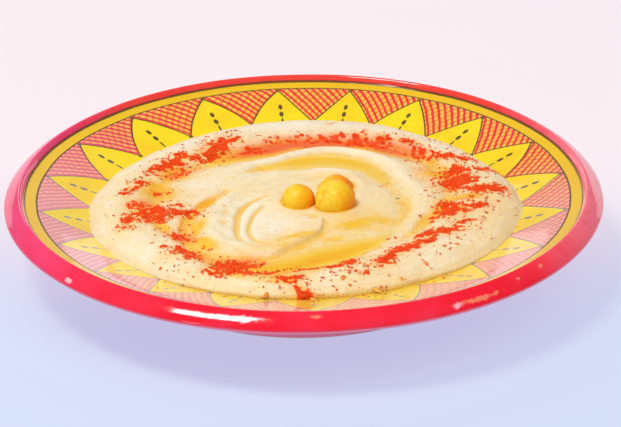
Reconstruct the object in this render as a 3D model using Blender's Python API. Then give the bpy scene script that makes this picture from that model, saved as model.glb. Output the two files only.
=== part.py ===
"""A serving of hummus on a painted plate: plate, swirled hummus, pools of oil and chickpeas.

Lengths called "share" are shares of the plate's radius. The plate stands on z = 0, its axis is Z,
and -Y is its front.
"""
import math

import bmesh
import bpy
import numpy as np

PLATE_RADIUS = 0.105
FOOT_HEIGHT = 0.25            # share: height of the rim's widest circle above the foot's sole
SEGMENTS = 76                 # facets round the plate and the hummus
GAP = 0.0003                  # clearance kept between pieces that touch

# Plate, top side: (radius share, height share measured from the rim's widest circle).
DISH = [(0.0, -0.132), (0.32, -0.131), (0.47, -0.121), (0.6, -0.098), (0.712, -0.063),
        (0.80, -0.0335), (0.891, -0.0039), (0.931, 0.0047)]
# Lip: a low wall up to the crest, a slope down and out, and a round underside.
LIP = [(0.9345, 0.013), (0.944, 0.0262), (0.955, 0.0255), (0.975, 0.0135), (0.992, -0.001),
       (1.0, -0.013), (0.993, -0.026), (0.972, -0.033)]
PLATE_THICKNESS = 0.046       # share, of the slope's wall
FOOT_OUTER = 0.605
FOOT_INNER = 0.555
UNDERSIDE = -0.186            # share: height of the plate's underside inside the foot
UNDERSIDE_SHARES = (0.87, 0.69)      # radii of the rings under the slope
FOOT_BEVEL = 0.008
FOOT_COVE = 0.032             # share: how far the underside reaches in before it is flat

# Hummus: outline, and its profile from the middle (0) to the outline (1).
OUTLINE_RADIUS = 0.701
OUTLINE_WAVES = [(1, 0.0045, 48.0), (2, 0.024, 13.0), (3, 0.012, -26.0), (4, 0.004, -10.0)]
EDGE_THICKNESS = 0.0012
PROFILE = [(0.0, -0.040), (0.3, -0.039), (0.5, -0.038), (0.68, -0.031), (0.78, -0.022),
           (0.85, -0.0185), (0.91, -0.025), (0.96, -0.040), (1.0, -0.062)]
TOP_RINGS = 21
BOTTOM_SHARES = (0.6, 0.47, 0.32)    # radii of the rings under the hummus
CREASE = 0.018                # share: the narrowest crease that the facets carry

# Strokes of the spoon: (angle in degrees, radius, height, width inwards, width outwards), shares.
# A height above zero is a ridge, below zero a groove.
STROKES = {
    "outer_trough": [
        (-54, 0.46, 0.0, 0.03, 0.03), (-38, 0.445, -0.008, 0.03, 0.03),
        (-22, 0.445, -0.014, 0.03, 0.03), (5, 0.50, -0.010, 0.04, 0.04),
        (33, 0.512, -0.016, 0.035, 0.035), (55, 0.492, -0.022, 0.04, 0.035),
        (81, 0.474, -0.024, 0.036, 0.036), (95, 0.456, -0.026, 0.045, 0.045),
        (107, 0.43, -0.026, 0.05, 0.05), (120, 0.425, -0.022, 0.05, 0.045),
        (140, 0.445, -0.009, 0.05, 0.04), (165, 0.49, -0.009, 0.045, 0.04),
        (190, 0.51, -0.010, 0.04, 0.035), (212, 0.52, -0.006, 0.03, 0.03),
        (235, 0.54, 0.0, 0.03, 0.03)],
    "inner_trough": [
        (-206, 0.262, 0.0, 0.03, 0.025), (-185, 0.291, -0.010, 0.022, 0.020),
        (-175, 0.329, -0.013, 0.022, 0.020), (-162, 0.391, -0.015, 0.026, 0.022),
        (-152, 0.440, -0.017, 0.030, 0.025), (-142, 0.481, -0.018, 0.035, 0.030),
        (-128, 0.530, -0.024, 0.045, 0.050), (-114, 0.545, -0.030, 0.075, 0.070),
        (-98, 0.520, -0.032, 0.090, 0.080), (-82, 0.450, -0.028, 0.085, 0.092),
        (-65, 0.410, -0.020, 0.060, 0.075), (-45, 0.395, -0.010, 0.050, 0.055),
        (-15, 0.350, -0.010, 0.050, 0.050), (15, 0.315, -0.009, 0.040, 0.040),
        (33, 0.315, -0.014, 0.035, 0.042), (50, 0.330, -0.018, 0.040, 0.052),
        (65, 0.335, -0.020, 0.045, 0.060), (80, 0.318, -0.020, 0.050, 0.068),
        (96, 0.300, -0.019, 0.055, 0.060), (108, 0.295, -0.015, 0.045, 0.045),
        (122, 0.300, -0.009, 0.035, 0.030), (140, 0.290, 0.0, 0.030, 0.030)],
    "spiral_ridge": [
        (-60, 0.45, 0.0, 0.03, 0.02), (-40, 0.42, 0.004, 0.025, 0.02),
        (-25, 0.395, 0.006, 0.02, 0.02), (0, 0.40, 0.005, 0.03, 0.03),
        (25, 0.39, 0.006, 0.035, 0.03), (43, 0.406, 0.010, 0.03, 0.028),
        (60, 0.417, 0.012, 0.022, 0.02), (80, 0.408, 0.013, 0.018, 0.018),
        (95, 0.375, 0.012, 0.018, 0.018), (108, 0.346, 0.010, 0.018, 0.018),
        (122, 0.343, 0.006, 0.02, 0.02), (145, 0.35, 0.0, 0.03, 0.03)],
    "second_groove": [
        (158, 0.11, 0.0, 0.014, 0.014), (182, 0.163, -0.008, 0.014, 0.014),
        (202, 0.226, -0.012, 0.016, 0.016), (225, 0.311, -0.011, 0.016, 0.016),
        (235, 0.370, -0.008, 0.016, 0.016), (242, 0.40, 0.0, 0.014, 0.014)],
    "third_groove": [
        (197, 0.125, 0.0, 0.013, 0.013), (208, 0.17, -0.007, 0.013, 0.013),
        (223, 0.238, -0.010, 0.014, 0.014), (237, 0.325, -0.009, 0.014, 0.014),
        (247, 0.368, -0.006, 0.014, 0.014), (258, 0.375, 0.0, 0.013, 0.013)],
    "left_lobe": [
        (170, 0.20, 0.0, 0.05, 0.035), (190, 0.27, 0.006, 0.05, 0.035),
        (208, 0.345, 0.009, 0.05, 0.04), (225, 0.41, 0.010, 0.05, 0.04),
        (240, 0.455, 0.007, 0.05, 0.03), (255, 0.45, 0.003, 0.05, 0.02),
        (268, 0.42, 0.0, 0.05, 0.02)],
    "leaf": [
        (232, 0.41, 0.0, 0.05, 0.012), (244, 0.44, 0.008, 0.06, 0.012),
        (253, 0.443, 0.012, 0.09, 0.011), (258, 0.426, 0.014, 0.11, 0.010),
        (263, 0.378, 0.016, 0.12, 0.010), (271, 0.322, 0.015, 0.11, 0.010),
        (281, 0.262, 0.013, 0.09, 0.010), (287, 0.205, 0.009, 0.06, 0.010),
        (294, 0.15, 0.0, 0.04, 0.010)],
    "back_bump": [
        (18, 0.21, 0.0, 0.03, 0.018), (38, 0.232, 0.009, 0.035, 0.018),
        (55, 0.25, 0.010, 0.035, 0.018), (70, 0.238, 0.008, 0.035, 0.018),
        (92, 0.22, 0.0, 0.03, 0.018)],
}

# Pools of oil: (stroke that holds it, first angle, last angle, level share).
POOLS = {
    "oil_back_outer": ("outer_trough", 28, 136, -0.042),
    "oil_back_inner": ("inner_trough", 28, 114, -0.046),
    "oil_front": ("inner_trough", -168, -48, -0.045),
}
POOL_STEP = 6.0               # degrees between a pool's stations
POOL_ROWS = 4                 # points across a pool's bed
CUTTER_RISE = 10              # how far a cutter stands over the level, in gaps
POOL_DEPTH = 0.0007           # how far a pool's bed lies under the strokes' surface
POOL_REACH = 0.10             # share: how far a pool's bank may lie from its stroke's middle
HALVINGS = 24                 # steps that find a bank by halving

# Chickpeas: centre shares (x, y, z), half sizes in metres, beak direction, beak height share.
CHICKPEAS = {
    "chickpea_left": ((-0.018, -0.029, -0.030), (0.0058, 0.0058, 0.0055), (0.55, 0.75, 0.1), 0.10),
    "chickpea_right": ((0.109, -0.046, -0.024), (0.0071, 0.0069, 0.0068), (-0.7, -0.72, -0.1), 0.18),
    "chickpea_back": ((0.111, 0.084, -0.053), (0.0061, 0.0058, 0.0060), (0.8, 0.4, 0.0), 0.12),
}
PEA_SEGMENTS = 16
PEA_RINGS = 9
BEAK_SPREAD = 0.42            # radians
SHARP_ANGLE = 50              # degrees between facets that keep a hard edge

COLOURS = {
    "plate": ((0.86, 0.05, 0.09, 1.0), 0.18),
    "hummus": ((0.93, 0.75, 0.45, 1.0), 0.42),
    "oil": ((0.95, 0.55, 0.03, 1.0), 0.08),
    "chickpea": ((0.95, 0.50, 0.05, 1.0), 0.35),
}


def spline(knots, values, x):
    """A smooth curve through the values, with each knot's slope from its neighbours."""
    knots = np.asarray(knots, dtype=float)
    values = np.asarray(values, dtype=float)
    slopes = np.gradient(values, knots)
    i = np.clip(np.searchsorted(knots, x) - 1, 0, len(knots) - 2)
    step = knots[i + 1] - knots[i]
    t = np.clip((x - knots[i]) / step, 0.0, 1.0)
    start = (2 * t**3 - 3 * t**2 + 1) * values[i] + (t**3 - 2 * t**2 + t) * slopes[i] * step
    end = (3 * t**2 - 2 * t**3) * values[i + 1] + (t**3 - t**2) * slopes[i + 1] * step
    return start + end


def dish_height(radius):
    """Height of the plate's top side at a distance from the axis, in metres."""
    shares, heights = zip(*DISH)
    rise = np.interp(radius / PLATE_RADIUS, shares, heights)
    return (FOOT_HEIGHT + rise) * PLATE_RADIUS


def stroke_at(stations, angle):
    """Radius, height, inner and outer width of a stroke at an angle in degrees."""
    stations = np.array(stations)
    first = stations[0, 0]
    turned = first + (angle - first) % 360.0
    inside = turned <= stations[-1, 0]
    turned = np.minimum(turned, stations[-1, 0])
    radius, height, inner, outer = (spline(stations[:, 0], stations[:, k], turned)
                                    for k in range(1, 5))
    return radius, np.where(inside, height, 0.0), inner, outer


def hummus_outline(angle):
    """The hummus's outline, as a distance from the plate's axis in metres."""
    radius = OUTLINE_RADIUS
    for count, size, phase in OUTLINE_WAVES:
        radius = radius + size * np.cos(np.radians(count * (angle - phase)))
    return radius * PLATE_RADIUS


def hummus_height(radius, angle):
    """Height of the hummus's top side at polar coordinates (metres, degrees), in metres."""
    share = radius / PLATE_RADIUS
    knots, heights = zip(*PROFILE)
    rise = spline(knots, heights, radius / hummus_outline(angle))
    for stations in STROKES.values():
        middle, height, inner, outer = stroke_at(stations, angle)
        offset = share - middle
        width = np.maximum(np.where(offset < 0, inner, outer), CREASE)
        rise = rise + height * np.exp(-(offset / width) ** 2)
    return (FOOT_HEIGHT + rise) * PLATE_RADIUS


def polar_point(radius, angle, height):
    turn = math.radians(angle)
    return (radius * math.cos(turn), radius * math.sin(turn), height)


def material(kind):
    """The material of a kind of piece, made once."""
    made = bpy.data.materials.get(kind)
    if made is None:
        made = bpy.data.materials.new(kind)
        made.use_nodes = True
        shader = made.node_tree.nodes["Principled BSDF"]
        colour, roughness = COLOURS[kind]
        shader.inputs["Base Color"].default_value = colour
        shader.inputs["Roughness"].default_value = roughness
        shader.inputs["Metallic"].default_value = 0.0
        made.diffuse_color = colour
    return made


def skin(name, kind, start, rings, end):
    """A closed body from a pole, through rings with equal numbers of points, to a pole."""
    bm = bmesh.new()
    first = bm.verts.new(start)
    rows = [[bm.verts.new(point) for point in ring] for ring in rings]
    last = bm.verts.new(end)
    for row, following in zip(rows, rows[1:]):
        for k in range(len(row)):
            n = (k + 1) % len(row)
            bm.faces.new((row[k], row[n], following[n], following[k]))
    for k in range(len(rows[0])):
        bm.faces.new((first, rows[0][(k + 1) % len(rows[0])], rows[0][k]))
        bm.faces.new((last, rows[-1][k], rows[-1][(k + 1) % len(rows[-1])]))
    bmesh.ops.triangulate(bm, faces=bm.faces[:])
    bmesh.ops.recalc_face_normals(bm, faces=bm.faces[:])
    mesh = bpy.data.meshes.new(name)
    bm.to_mesh(mesh)
    bm.free()
    mesh.materials.append(material(kind))
    mesh.shade_smooth()
    mesh.set_sharp_from_angle(angle=math.radians(SHARP_ANGLE))
    piece = bpy.data.objects.new(name, mesh)
    bpy.context.collection.objects.link(piece)
    return piece


def round_ring(radius, height):
    return [polar_point(radius, 360.0 * k / SEGMENTS, height) for k in range(SEGMENTS)]


def plate():
    """The turned plate: dish, raised lip, underside and foot ring."""
    profile = [(r, FOOT_HEIGHT + z) for r, z in DISH[1:] + LIP]
    for share in UNDERSIDE_SHARES:
        wall = float(dish_height(share * PLATE_RADIUS)) / PLATE_RADIUS
        profile.append((share, wall - PLATE_THICKNESS))
    underside = FOOT_HEIGHT + UNDERSIDE
    profile += [(FOOT_OUTER + FOOT_BEVEL, underside - FOOT_BEVEL),
                (FOOT_OUTER, FOOT_BEVEL), (FOOT_OUTER - FOOT_BEVEL, 0.0),
                (FOOT_INNER + FOOT_BEVEL, 0.0), (FOOT_INNER, FOOT_BEVEL),
                (FOOT_INNER - FOOT_BEVEL, underside - FOOT_BEVEL),
                (FOOT_INNER - FOOT_COVE, underside)]
    rings = [round_ring(r * PLATE_RADIUS, z * PLATE_RADIUS) for r, z in profile]
    top = (0, 0, float(dish_height(0.0)))
    return skin("plate", "plate", top, rings, (0, 0, underside * PLATE_RADIUS))


def hummus():
    """The swirled hummus, lying in the dish."""
    angles = 360.0 * np.arange(SEGMENTS) / SEGMENTS
    outline = hummus_outline(angles)
    rings = []
    for k in range(1, TOP_RINGS + 1):
        radii = outline * k / TOP_RINGS
        floor = dish_height(radii) + GAP
        heights = np.maximum(hummus_height(radii, angles), floor + EDGE_THICKNESS)
        rings.append([polar_point(*point) for point in zip(radii, angles, heights)])
    for share in (OUTLINE_RADIUS, *BOTTOM_SHARES):
        radii = outline * share / OUTLINE_RADIUS
        rings.append([polar_point(*point) for point in zip(radii, angles, dish_height(radii) + GAP)])
    top = (0, 0, float(hummus_height(np.array(0.0), np.array(0.0))))
    return skin("hummus", "hummus", top, rings, (0, 0, float(dish_height(0.0)) + GAP))


def bank(middle, angle, level, direction):
    """Where the hummus rises to a pool's level, going inwards (-1) or outwards (1)."""
    near, far = 0.0, POOL_REACH * PLATE_RADIUS
    for _ in range(HALVINGS):
        half = (near + far) / 2
        if float(hummus_height(np.array(middle + direction * half), np.array(angle))) < level:
            near = half
        else:
            far = half
    return middle + direction * near


def slid(ring, distance):
    """A pool's section moved along the pool."""
    middle = np.mean(ring, axis=0)
    along = np.array([-middle[1], middle[0], 0.0]) / np.hypot(middle[0], middle[1])
    return [tuple(np.array(point) + along * distance) for point in ring]


def pool(name, stroke, first, last, level_share, grow=0.0):
    """A pool of oil: flat on top, its bed along the groove. It grows to make its own cutter."""
    level = (FOOT_HEIGHT + level_share) * PLATE_RADIUS
    rings = []
    for angle in np.arange(first, last + POOL_STEP / 2, POOL_STEP):
        middle = float(stroke_at(STROKES[stroke], np.array(angle))[0]) * PLATE_RADIUS
        inner = bank(middle, angle, level, -1) - grow
        outer = bank(middle, angle, level, 1) + grow
        radii = np.linspace(inner, outer, POOL_ROWS)
        bed = np.minimum(hummus_height(radii, np.array(angle)), level) - POOL_DEPTH - grow
        section = [polar_point(r, angle, z) for r, z in zip(radii, bed)]
        section += [polar_point(r, angle, level + CUTTER_RISE * grow) for r in (outer, inner)]
        rings.append(section)
    if grow:
        rings = [slid(rings[0], -grow)] + rings + [slid(rings[-1], grow)]
    ends = [tuple(np.mean(ring, axis=0)) for ring in (rings[0], rings[-1])]
    return skin(name, "oil", ends[0], rings, ends[1])


def chickpea(name, centre, sizes, beak, beak_height, grow=0.0):
    """A cooked chickpea: an egg shape with a blunt beak."""
    beak = np.array(beak) / np.linalg.norm(beak)
    middle = np.array(centre) + np.array((0.0, 0.0, FOOT_HEIGHT))
    middle = middle * PLATE_RADIUS

    def surface(direction):
        angle = math.acos(max(-1.0, min(1.0, float(direction @ beak))))
        swell = 1.0 + beak_height * math.exp(-(angle / BEAK_SPREAD) ** 2)
        return tuple(middle + direction * (np.array(sizes) * swell + grow))

    rings = []
    for k in range(1, PEA_RINGS):
        tilt = math.pi * k / PEA_RINGS
        rings.append([surface(np.array((math.sin(tilt) * math.cos(turn),
                                        math.sin(tilt) * math.sin(turn), math.cos(tilt))))
                      for turn in 2 * math.pi * np.arange(PEA_SEGMENTS) / PEA_SEGMENTS])
    top, bottom = (surface(np.array((0.0, 0.0, z))) for z in (1.0, -1.0))
    return skin(name, "chickpea", top, rings, bottom)


def cut(piece, cutter):
    """Take a cutter's space out of a piece."""
    cutter.hide_render = True
    cutter.display_type = 'WIRE'
    boolean = piece.modifiers.new(cutter.name, 'BOOLEAN')
    boolean.operation = 'DIFFERENCE'
    boolean.object = cutter


def build():
    for old in list(bpy.data.objects):
        bpy.data.objects.remove(old, do_unlink=True)
    plate()
    base = hummus()
    for name, values in POOLS.items():
        pool(name, *values)
        cut(base, pool(name + "_bed", *values, grow=GAP))
    for name, values in CHICKPEAS.items():
        chickpea(name, *values)
        cut(base, chickpea(name + "_seat", *values, grow=GAP))


build()
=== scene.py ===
"""The looks of a plate of hummus: painted glaze, swirled hummus, oil, chickpeas and paprika.

Lengths are in metres, and those called "share" are shares of the plate's radius. The plate's axis
is Z and -Y is its front. Angles are in degrees, anticlockwise from +X as seen from above.
"""

import math

import bmesh
import bpy
import numpy as np
from mathutils import Matrix, Vector


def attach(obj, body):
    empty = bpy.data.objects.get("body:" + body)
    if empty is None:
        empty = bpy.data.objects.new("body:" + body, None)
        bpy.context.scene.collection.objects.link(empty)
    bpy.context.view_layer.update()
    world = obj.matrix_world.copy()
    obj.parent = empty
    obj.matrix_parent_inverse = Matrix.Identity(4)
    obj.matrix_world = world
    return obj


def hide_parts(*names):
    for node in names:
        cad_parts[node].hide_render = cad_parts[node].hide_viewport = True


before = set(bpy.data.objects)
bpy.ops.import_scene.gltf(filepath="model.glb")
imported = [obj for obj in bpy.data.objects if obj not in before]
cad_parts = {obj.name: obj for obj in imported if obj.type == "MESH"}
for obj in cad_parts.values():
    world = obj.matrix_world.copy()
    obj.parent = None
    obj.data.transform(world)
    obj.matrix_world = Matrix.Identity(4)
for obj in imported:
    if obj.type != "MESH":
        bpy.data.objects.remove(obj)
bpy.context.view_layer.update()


def shares(rows):
    """Rows whose first four numbers are in thousandths of the plate's radius, as shares."""
    return [(*(value / 1000 for value in row[:4]), *row[4:]) for row in rows]


# ---------------------------------------------------------------- the solids' own measures
PLATE_RADIUS = 0.105
FOOT_HEIGHT = 0.25            # share: the level that the heights below count from
GAP = 0.0003                  # between neighbouring solids
# The plate's section: (distance from the axis, height), shares.
DISH = [(0.0, -0.132), (0.32, -0.131), (0.47, -0.121), (0.6, -0.098), (0.712, -0.063),
        (0.80, -0.0335), (0.891, -0.0039), (0.931, 0.0047)]
LIP = [(0.931, 0.0047), (0.9345, 0.013), (0.944, 0.0262), (0.955, 0.0255), (0.975, 0.0135),
       (0.992, -0.001), (1.0, -0.013), (0.993, -0.026), (0.972, -0.033)]
PLATE_THICKNESS = 0.046       # the plate's other measures are shares too
FOOT_OUTER = 0.605
FOOT_INNER = 0.555
UNDERSIDE = -0.186
FOOT_BEVEL = 0.008
# The hummus: its outline's (waves to the turn, size, angle), and (part of the way out, height).
OUTLINE_RADIUS = 0.701
OUTLINE_WAVES = [(1, 0.0045, 48.0), (2, 0.024, 13.0), (3, 0.012, -26.0), (4, 0.004, -10.0)]
PROFILE = [(0.0, -0.040), (0.3, -0.039), (0.5, -0.038), (0.68, -0.031), (0.78, -0.022),
           (0.85, -0.0185), (0.91, -0.025), (0.96, -0.040), (1.0, -0.062)]

# Strokes of the spoon: (angle, radius, height, width inwards, width outwards), lengths in
# thousandths of the plate's radius.
STROKES = {
    "outer_trough": [
        (-54, 460, 0, 30, 30), (-38, 445, -8, 30, 30), (-22, 445, -14, 30, 30),
        (5, 500, -10, 40, 40), (33, 512, -16, 35, 35), (55, 492, -22, 40, 35),
        (81, 474, -24, 36, 36), (95, 456, -26, 45, 45), (107, 430, -26, 50, 50),
        (120, 425, -22, 50, 45), (140, 445, -9, 50, 40), (165, 490, -9, 45, 40),
        (190, 510, -10, 40, 35), (212, 520, -6, 30, 30), (235, 540, 0, 30, 30)],
    "inner_trough": [
        (-206, 262, 0, 30, 25), (-185, 291, -10, 22, 20), (-175, 329, -13, 22, 20),
        (-162, 391, -15, 26, 22), (-152, 440, -17, 30, 25), (-142, 481, -18, 35, 30),
        (-128, 530, -24, 45, 50), (-114, 545, -30, 75, 70), (-98, 520, -32, 90, 80),
        (-82, 450, -28, 85, 92), (-65, 410, -20, 60, 75), (-45, 395, -10, 50, 55),
        (-15, 350, -10, 50, 50), (15, 315, -9, 40, 40), (33, 315, -14, 35, 42),
        (50, 330, -18, 40, 52), (65, 335, -20, 45, 60), (80, 318, -20, 50, 68),
        (96, 300, -19, 55, 60), (108, 295, -15, 45, 45), (122, 300, -9, 35, 30),
        (140, 290, 0, 30, 30)],
    "spiral_ridge": [
        (-60, 450, 0, 30, 20), (-40, 420, 4, 25, 20), (-25, 395, 6, 20, 20), (0, 400, 5, 30, 30),
        (25, 390, 6, 35, 30), (43, 406, 10, 30, 28), (60, 417, 12, 22, 20), (80, 408, 13, 18, 18),
        (95, 375, 12, 18, 18), (108, 346, 10, 18, 18), (122, 343, 6, 20, 20),
        (145, 350, 0, 30, 30)],
    "second_groove": [
        (158, 110, 0, 14, 14), (182, 163, -8, 14, 14), (202, 226, -12, 16, 16),
        (225, 311, -11, 16, 16), (235, 370, -8, 16, 16), (242, 400, 0, 14, 14)],
    "third_groove": [
        (197, 125, 0, 13, 13), (208, 170, -7, 13, 13), (223, 238, -10, 14, 14),
        (237, 325, -9, 14, 14), (247, 368, -6, 14, 14), (258, 375, 0, 13, 13)],
    "left_lobe": [
        (170, 200, 0, 50, 35), (190, 270, 6, 50, 35), (208, 345, 9, 50, 40),
        (225, 410, 10, 50, 40), (240, 455, 7, 50, 30), (255, 450, 3, 50, 20),
        (268, 420, 0, 50, 20)],
    "leaf": [
        (232, 410, 0, 50, 12), (244, 440, 8, 60, 12), (253, 443, 12, 90, 11),
        (258, 426, 14, 110, 10), (263, 378, 16, 120, 10), (271, 322, 15, 110, 10),
        (281, 262, 13, 90, 10), (287, 205, 9, 60, 10), (294, 150, 0, 40, 10)],
    "back_bump": [
        (18, 210, 0, 30, 18), (38, 232, 9, 35, 18), (55, 250, 10, 35, 18), (70, 238, 8, 35, 18),
        (92, 220, 0, 30, 18)],
}
# Pools of oil: (stroke that holds it, first angle, last angle, level share, how amber).
POOLS = {
    "oil_back_outer": ("outer_trough", 24, 139, -0.042, 2.0),
    "oil_back_inner": ("inner_trough", 25, 118, -0.046, 0.8),
    "oil_front": ("inner_trough", -172, -44, -0.045, 1.25),
}
POOL_REACH = 0.10             # share: how far a pool's bank may be from its stroke's middle
BANK_LAP = 0.0005             # how far a pool runs on under its bank
POOL_BASE = 0.0005            # how far a pool reaches down into the hummus
POOL_SKIN = 0.00002           # how far its top lies under its level
FULL_AMBER_DEPTH = 0.0022

# Chickpeas: centre shares (x, y, z), half sizes, the beak's direction and height share, the depth
# of the skin's wrinkles, and how much more orange one is.
CHICKPEAS = {
    "chickpea_left": ((-0.018, -0.029, -0.030), (0.0058, 0.0058, 0.0055), (0.55, 0.75, 0.1),
                      0.10, 0.00008, 0.0),
    "chickpea_right": ((0.105, -0.046, -0.024), (0.0071, 0.0069, 0.0068), (-0.7, -0.72, -0.1),
                       0.18, 0.00024, -0.12),
    "chickpea_back": ((0.111, 0.084, -0.053), (0.0061, 0.0058, 0.0060), (0.8, 0.4, 0.0),
                      0.12, 0.00015, 0.30),
}
BEAK_SPREAD = 0.42            # radians
CREASE_DEPTH = 0.00035
# Painted shade: the side of a chickpea away from the key lamp is painted more orange.
SHADED_SIDE = (0.80, 0.35, -0.50)     # the side of a chickpea that is more orange

# ---------------------------------------------------------------- what lies on the hummus
# Patches: (x, y, half length, half width, direction, amount), lengths in thousandths.
PAPRIKA = shares([
    (-495, 222, 40, 18, 48, 1.0), (-448, 268, 36, 22, 42, 1.0), (-405, 325, 26, 16, 10, 1.0),
    (-372, 320, 34, 17, -5, 0.9), (-330, 358, 26, 30, 20, 1.1), (-300, 410, 26, 28, 60, 1.1),
    (-282, 455, 28, 20, 65, 0.9), (-240, 467, 18, 13, -10, 0.9), (-338, 400, 12, 9, 0, 0.8),
    (-450, 192, 48, 18, 30, 0.7), (-385, 250, 40, 10, 15, 0.4), (-555, 101, 22, 12, 0, 0.9),
    (-578, 47, 24, 13, 25, 1.0), (-598, 8, 14, 8, 0, 0.8), (-597, -22, 10, 7, 0, 0.8),
    (-492, 51, 30, 12, 5, 0.7), (-572, -82, 16, 26, 0, 1.0), (-532, -92, 30, 40, 40, 0.6),
    (-483, -98, 30, 34, 60, 1.1), (-428, -50, 26, 11, 5, 0.9), (-412, -112, 48, 22, 12, 1.1),
    (-590, -157, 16, 8, 0, 0.8), (-568, -192, 28, 18, 10, 1.0), (-580, -250, 22, 13, -8, 0.9),
    (-512, -150, 36, 32, 10, 1.0), (-447, -158, 10, 7, 0, 0.7), (-414, -275, 28, 18, 25, 0.9),
    (-381, -300, 32, 22, 30, 0.6), (-446, -401, 14, 9, 10, 0.8), (-390, -420, 34, 22, 35, 1.0),
    (-362, -463, 24, 17, 35, 1.0), (-426, -452, 10, 7, 0, 0.6), (-330, -365, 16, 8, 20, 0.4),
    (-322, -560, 12, 10, 0, 0.6), (-220, -545, 80, 22, 2, 0.9), (-150, -548, 40, 16, 0, 0.7),
    (-57, -612, 36, 18, -5, 1.0), (-12, -655, 14, 26, 65, 1.0), (30, -530, 52, 9, -4, 0.8),
    (90, -538, 34, 9, 0, 0.8), (142, -520, 24, 20, 60, 1.0), (172, -578, 34, 6, 0, 0.5),
    (250, -512, 36, 18, 50, 1.0), (276, -528, 14, 12, -40, 0.7), (312, -430, 40, 20, 38, 1.1),
    (352, -402, 34, 18, 48, 1.1), (396, -368, 28, 14, 45, 1.0), (425, -300, 60, 20, 18, 1.1),
    (465, -296, 34, 18, 0, 1.0), (527, -229, 34, 12, 8, 1.0), (488, -125, 34, 42, -50, 1.2),
    (470, -70, 22, 30, 20, 1.0), (572, -108, 34, 18, -10, 1.1), (610, -115, 14, 6, 0, 0.6),
    (520, 105, 40, 42, -50, 1.2), (515, 175, 30, 36, -40, 1.1), (470, 145, 22, 11, 0, 0.7),
    (463, 205, 14, 10, 0, 0.8), (416, 125, 22, 9, 0, 0.4), (620, 25, 42, 24, 5, 1.2),
    (625, 190, 38, 14, 10, 1.0), (558, 262, 26, 14, 15, 0.9), (480, 300, 48, 16, -15, 1.0),
    (425, 335, 20, 12, -10, 0.8), (395, 355, 30, 20, -30, 0.7), (368, 430, 32, 12, -38, 1.0),
    (278, 465, 20, 22, 70, 1.0), (250, 448, 52, 20, -15, 0.9), (192, 470, 22, 24, 20, 1.1),
    (220, 500, 8, 26, -10, 0.8), (110, 492, 22, 16, 15, 1.1), (66, 508, 12, 10, 0, 0.8),
    (20, 480, 50, 14, 5, 0.6), (-52, 492, 60, 14, 12, 0.6), (-180, 425, 24, 10, 20, 0.8),
    (-178, 392, 30, 12, 10, 0.7), (-215, -497, 62, 24, -8, 1.1), (-170, -490, 30, 20, 0, 0.9),
])
PAPRIKA_GROWTH = 1.60         # how much wider a patch is before noise eats its edge
PAPRIKA_EDGE = 0.78           # how far the noise eats in
HALO_GROWTH = 2.7             # how far stray flakes lie round a patch
GRAIN_COUNT = 17000
GRAIN_SIZE = (0.00012, 0.00030)      # half sizes of a grain, least and most
FLAKE_COUNT = 2600
FLAKE_SIZE = (0.00016, 0.00080)

# Oil stained by paprika, and thin films of oil.
STAINS = shares([
    (-120, 425, 130, 42, 22, 1.7), (310, 402, 120, 40, -32, 1.4), (60, 465, 150, 42, 0, 1.8),
    (-530, -53, 50, 40, 60, 0.9), (-430, 215, 70, 30, 40, 0.7), (-394, -290, 40, 40, 30, 0.8),
    (-205, -470, 80, 35, 0, 0.9), (500, 100, 50, 60, -40, 0.6), (-490, -120, 45, 40, 0, 0.9),
    (-330, -430, 110, 26, -42, 0.55), (411, 210, 40, 50, -40, 0.35), (-60, -545, 110, 18, 2, 0.4),
    (-400, -190, 20, 110, 5, 0.35), (-340, -30, 100, 18, 58, 0.3), (546, -30, 70, 25, -10, 0.25),
    (-500, 50, 60, 60, 0, 0.3),
])
FILMS = shares([
    (-492, 58, 70, 90, 10, 1.4), (-465, -225, 35, 60, 20, 1.1), (-440, 200, 80, 60, 40, 1.2),
    (-280, 365, 90, 35, 30, 1.1), (-520, -100, 60, 90, 10, 1.4), (-370, -240, 38, 105, -20, 1.5),
    (-330, -340, 36, 90, 45, 1.4), (546, -30, 75, 30, -10, 1.3), (450, 190, 70, 60, -50, 1.0),
    (314, -70, 110, 130, 0, 0.3), (392, -178, 80, 30, 40, 0.4), (370, -226, 70, 14, 35, 0.5),
    (200, -200, 170, 100, 20, 0.9), (-10, -310, 150, 45, 22, 0.9), (130, 160, 120, 40, -20, 0.5),
    (330, 20, 90, 110, 0, 0.25), (610, -120, 100, 300, 0, 0.35), (150, -620, 300, 60, 5, 0.25),
    (35, -135, 30, 12, 0, 0.8), (-60, -380, 170, 50, 12, 0.75), (100, -310, 90, 50, 35, 0.8),
    (-300, -455, 80, 45, -42, 1.3), (-345, -360, 40, 70, 20, 0.8), (-384, -210, 28, 100, 0, 1.7),
    (-335, -45, 85, 22, 61, 1.7), (-200, -500, 120, 40, -5, 1.2), (400, 300, 60, 40, -40, 0.8),
])
# Where stray flakes lie apart from the patches.
STREWN = shares([
    (150, -610, 330, 60, 8, 0.75), (600, -100, 100, 280, 0, 0.6), (480, 260, 180, 130, -40, 0.7),
    (420, -420, 160, 60, 40, 0.9), (-300, 430, 220, 80, 30, 0.4), (-540, -250, 60, 180, 10, 0.3),
    (-250, -600, 200, 40, -10, 0.3),
])
# Where the paste is painted paler, which includes painted highlights on its back flank, and where
# it is lumpy.
PALE_AND_HIGHLIGHTS = shares([
    (-100, -190, 120, 85, -35, 1.0), (-10, -165, 50, 30, 0, 0.8), (-400, 420, 220, 60, 40, 1.0),
    (-100, 585, 250, 60, 8, 1.1), (250, 540, 220, 55, -20, 1.1), (540, 310, 200, 50, -45, 0.9),
    (-380, 130, 60, 60, 0, 0.7),
])
LUMPS = shares([
    (-290, -150, 75, 150, 10, 1.0), (35, -165, 45, 28, 0, 1.0), (-240, -300, 70, 60, 40, 0.7),
    (0, 170, 200, 40, 0, 0.4),
])
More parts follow.
